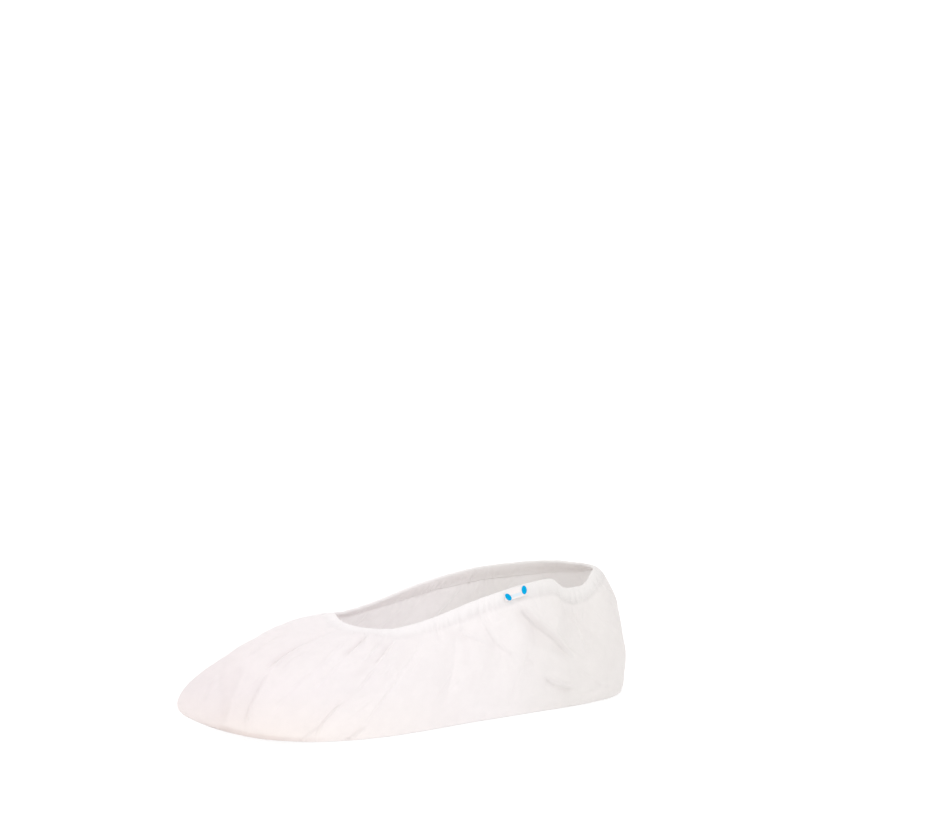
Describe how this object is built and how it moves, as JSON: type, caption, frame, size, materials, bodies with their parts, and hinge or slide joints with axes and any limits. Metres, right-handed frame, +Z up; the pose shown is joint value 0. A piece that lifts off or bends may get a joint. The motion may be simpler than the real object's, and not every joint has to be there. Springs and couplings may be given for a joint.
{
  "type": "disposable shoe cover",
  "caption": "Disposable nonwoven overshoe with a flat sole panel, an open ankle mouth and a gathered elastic hem, kept in its worn shape.",
  "frame": {"origin": "on the floor, under the middle of the cover's bounding box", "axes": "+X from the toe to the heel, +Z up, and the side with the tab towards -Y"},
  "size_m": [0.3342, 0.1214, 0.0885],
  "materials": {
    "cover_cloth": "crisp matt nonwoven with a faint sheen",
    "sole_cloth": "matt coated nonwoven",
    "elastic": "matt knitted elastic",
    "tab_cloth": "smooth woven tape",
    "blue_thread": "satin-stitched thread"
  },
  "bodies": {
    "root": {"upper": "cover_cloth", "sole_panel": "sole_cloth", "hem_casing": "cover_cloth", "elastic_band": "elastic", "tab": "tab_cloth", "bar_tack_front": "blue_thread", "bar_tack_rear": "blue_thread"}
  },
  "joints": []
}
